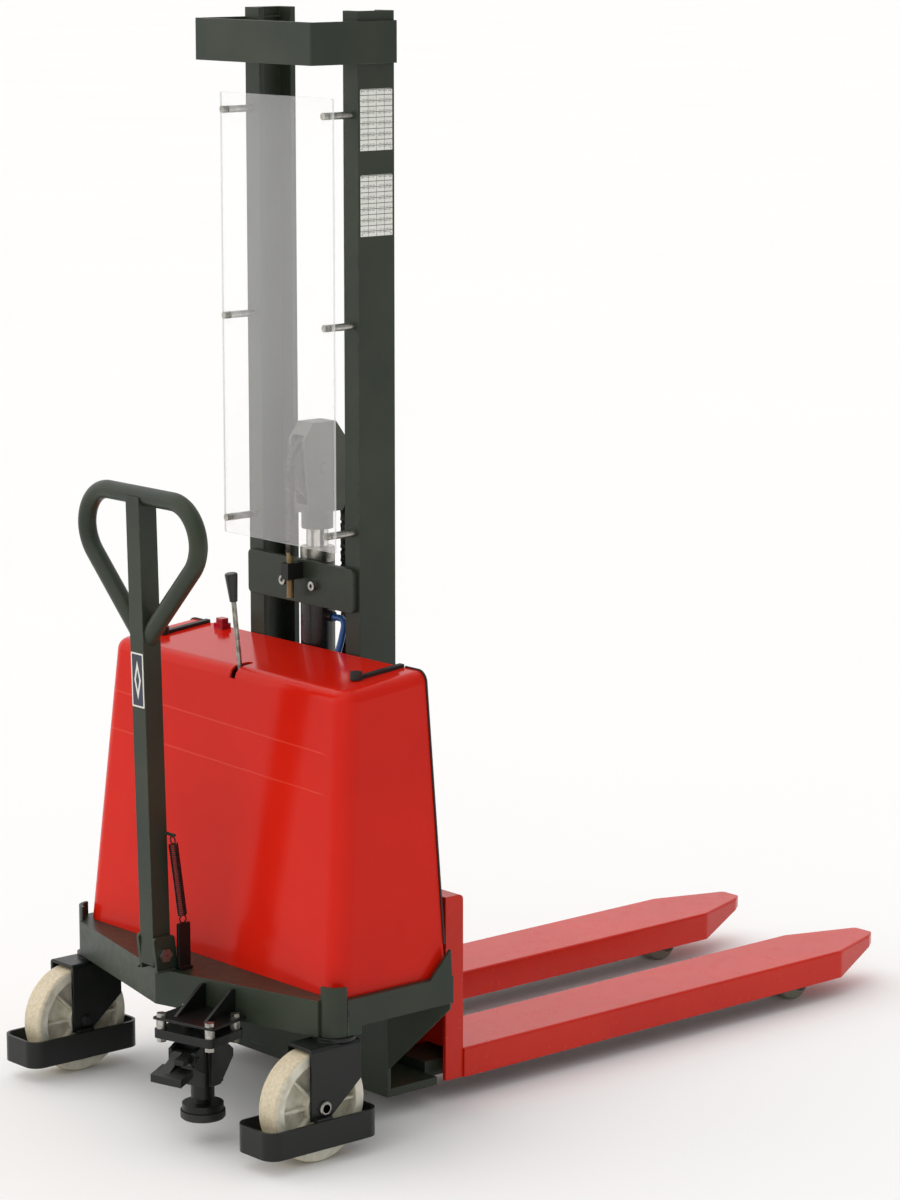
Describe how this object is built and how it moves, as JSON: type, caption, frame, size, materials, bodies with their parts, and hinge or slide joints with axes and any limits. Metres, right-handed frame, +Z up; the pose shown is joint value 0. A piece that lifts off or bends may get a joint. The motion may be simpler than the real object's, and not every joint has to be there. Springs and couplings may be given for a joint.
{
  "type": "walkie stacker",
  "caption": "Pedestrian stacker truck: twin red forks on a roller carriage, chain-lifted by a central hydraulic ram in a channel mast, with castors, tiller and hooded power pack",
  "frame": {"origin": "on the floor, under the middle of the overall box", "axes": "+X to the operator's right, +Y along the forks away from the operator, +Z up"},
  "size_m": [0.808, 1.77, 1.97],
  "materials": {
    "frame_paint": "satin dark olive paint",
    "red_paint": "gloss red paint",
    "red_moulding": "glossy moulded red",
    "nylon": "worn cream nylon",
    "roller_nylon": "grey nylon",
    "bright_steel": "zinc plated",
    "roller_steel": "machined steel",
    "chrome_rod": "hard chrome",
    "chain_steel": "oiled leaf chain",
    "black_steel": "black oxide",
    "cast_black": "painted casting",
    "clear_sheet": "clear acrylic",
    "black_rubber": "matte rubber",
    "blue_hose": "blue hose cover",
    "black_plastic": "black plastic",
    "red_lens": "translucent red",
    "pack_plastic": "dark plastic case",
    "motor_paint": "black enamel"
  },
  "bodies": {
    "chassis": {"chassis_deck": "frame_paint", "castor_posts": "frame_paint", "base_plate": "frame_paint", "base_wall": "frame_paint", "straddle_legs": "frame_paint", "mast_upright_left": "frame_paint", "mast_upright_right": "frame_paint", "mast_crossbeam": "frame_paint", "ram_clamp": "frame_paint", "crossbeam_bolts": "bright_steel", "mast_top_frame": "frame_paint", "guard_screen": "clear_sheet", "guard_standoffs": "bright_steel", "ram_cylinder": "frame_paint", "ram_gland": "bright_steel", "lift_chain_rear": "chain_steel", "chain_anchor": "frame_paint", "tiller_bracket": "frame_paint", "tiller_pin": "bright_steel", "tiller_spring": "black_steel", "spring_post": "frame_paint", "oil_tank": "pack_plastic", "valve_block": "bright_steel", "pump_motor": "motor_paint", "battery": "pack_plastic", "return_hose": "blue_hose", "lock_bracket": "frame_paint", "lock_bolts": "bright_steel", "lock_housing": "cast_black"},
    "carriage": {"carriage_frame": "red_paint", "fork_left": "red_paint", "fork_right": "red_paint", "lift_chain_front": "chain_steel"},
    "ram": {"piston_rod": "chrome_rod", "sheave_head": "frame_paint", "lift_chain_wrap": "chain_steel"},
    "sheave": {"chain_sheave": "roller_steel"},
    "rollers_lower": {"carriage_rollers_lower": "roller_steel"},
    "rollers_upper": {"carriage_rollers_upper": "roller_steel"},
    "castor_left": {"castor_yoke_left": "frame_paint", "castor_guard_left": "frame_paint"},
    "castor_right": {"castor_yoke_right": "frame_paint", "castor_guard_right": "frame_paint"},
    "castor_wheel_left": {"castor_wheel_left": "nylon"},
    "castor_wheel_right": {"castor_wheel_right": "nylon"},
    "load_wheel_left": {"load_wheel_left": "roller_nylon"},
    "load_wheel_right": {"load_wheel_right": "roller_nylon"},
    "tiller": {"drawbar": "frame_paint", "handle_loop": "frame_paint"},
    "lever": {"control_lever": "bright_steel", "lever_knob": "black_plastic"},
    "hood": {"hood": "red_moulding", "hood_straps": "black_rubber", "hood_edging": "black_rubber", "switch_housing": "black_plastic"},
    "switch": {"switch_button": "red_lens"},
    "lock_pedal": {"lock_pedal": "cast_black"},
    "lock_release": {"lock_release": "cast_black"},
    "lock_foot": {"lock_plunger": "cast_black", "lock_foot": "black_rubber"}
  },
  "joints": [
    {"name": "lift", "type": "slide", "parent": "chassis", "child": "carriage", "axis": [0, 0, 1], "range_m": [0, 1.46], "deforming": ["lift_chain_front"]},
    {"name": "ram_stroke", "type": "slide", "parent": "chassis", "child": "ram", "axis": [0, 0, 1], "range_m": [0, 0.73], "deforming": ["lift_chain_rear"]},
    {"name": "sheave_spin", "type": "hinge", "parent": "ram", "child": "sheave", "pos_m": [0, -0.3842, 1.15], "axis": [1, 0, 0], "continuous": true},
    {"name": "lower_rollers_spin", "type": "hinge", "parent": "carriage", "child": "rollers_lower", "pos_m": [0, -0.3745, 0.115], "axis": [1, 0, 0], "continuous": true},
    {"name": "upper_rollers_spin", "type": "hinge", "parent": "carriage", "child": "rollers_upper", "pos_m": [0, -0.3745, 0.345], "axis": [1, 0, 0], "continuous": true},
    {"name": "castor_swivel_left", "type": "hinge", "parent": "chassis", "child": "castor_left", "pos_m": [-0.352, -0.637, 0.216], "axis": [0, 0, 1], "continuous": true},
    {"name": "castor_wheel_spin_left", "type": "hinge", "parent": "castor_left", "child": "castor_wheel_left", "pos_m": [-0.352, -0.691, 0.1], "axis": [1, 0, 0], "continuous": true},
    {"name": "load_wheel_spin_left", "type": "hinge", "parent": "chassis", "child": "load_wheel_left", "pos_m": [-0.19, 0.655, 0.04], "axis": [1, 0, 0], "continuous": true},
    {"name": "castor_swivel_right", "type": "hinge", "parent": "chassis", "child": "castor_right", "pos_m": [0.352, -0.637, 0.216], "axis": [0, 0, 1], "continuous": true},
    {"name": "castor_wheel_spin_right", "type": "hinge", "parent": "castor_right", "child": "castor_wheel_right", "pos_m": [0.352, -0.691, 0.1], "axis": [1, 0, 0], "continuous": true},
    {"name": "load_wheel_spin_right", "type": "hinge", "parent": "chassis", "child": "load_wheel_right", "pos_m": [0.19, 0.655, 0.04], "axis": [1, 0, 0], "continuous": true},
    {"name": "tiller_tilt", "type": "hinge", "parent": "chassis", "child": "tiller", "pos_m": [0, -0.762, 0.311], "axis": [1, 0, 0], "range_deg": [0, 65], "stiffness_Nm_per_rad": 42, "deforming": ["tiller_spring"]},
    {"name": "lever_tilt", "type": "hinge", "parent": "chassis", "child": "lever", "pos_m": [0.024, -0.577, 0.745], "axis": [1, 0, 0], "range_deg": [-7, 7], "stiffness_Nm_per_rad": 2},
    {"name": "hood_lift", "type": "slide", "parent": "chassis", "child": "hood", "axis": [0, 0, 1], "range_m": [0, 0.018]},
    {"name": "switch_press", "type": "slide", "parent": "hood", "child": "switch", "axis": [0, 0, -1], "range_m": [0, 0.0035], "stiffness_N_per_m": 800},
    {"name": "lock_pedal_press", "type": "hinge", "parent": "chassis", "child": "lock_pedal", "pos_m": [0.16519, -0.82381, 0.166], "axis": [0.9703, 0.2419, 0], "range_deg": [0, 25]},
    {"name": "lock_release_press", "type": "hinge", "parent": "chassis", "child": "lock_release", "pos_m": [0.16519, -0.82381, 0.166], "axis": [0.9703, 0.2419, 0], "range_deg": [0, 12], "stiffness_Nm_per_rad": 3, "springref_deg": -2.86},
    {"name": "lock_foot_drop", "type": "slide", "parent": "chassis", "child": "lock_foot", "axis": [0, 0, -1], "range_m": [0, 0.0445]}
  ],
  "couplings": [
    {"joint": "ram_stroke", "follows": "lift", "ratio": 0.5},
    {"joint": "sheave_spin", "follows": "lift", "rad_per_m": 7.8125},
    {"joint": "lower_rollers_spin", "follows": "lift", "rad_per_m": 33.113},
    {"joint": "upper_rollers_spin", "follows": "lift", "rad_per_m": -33.113},
    {"joint": "lock_foot_drop", "follows": "lock_pedal_press", "m_per_rad": 0.101}
  ]
}
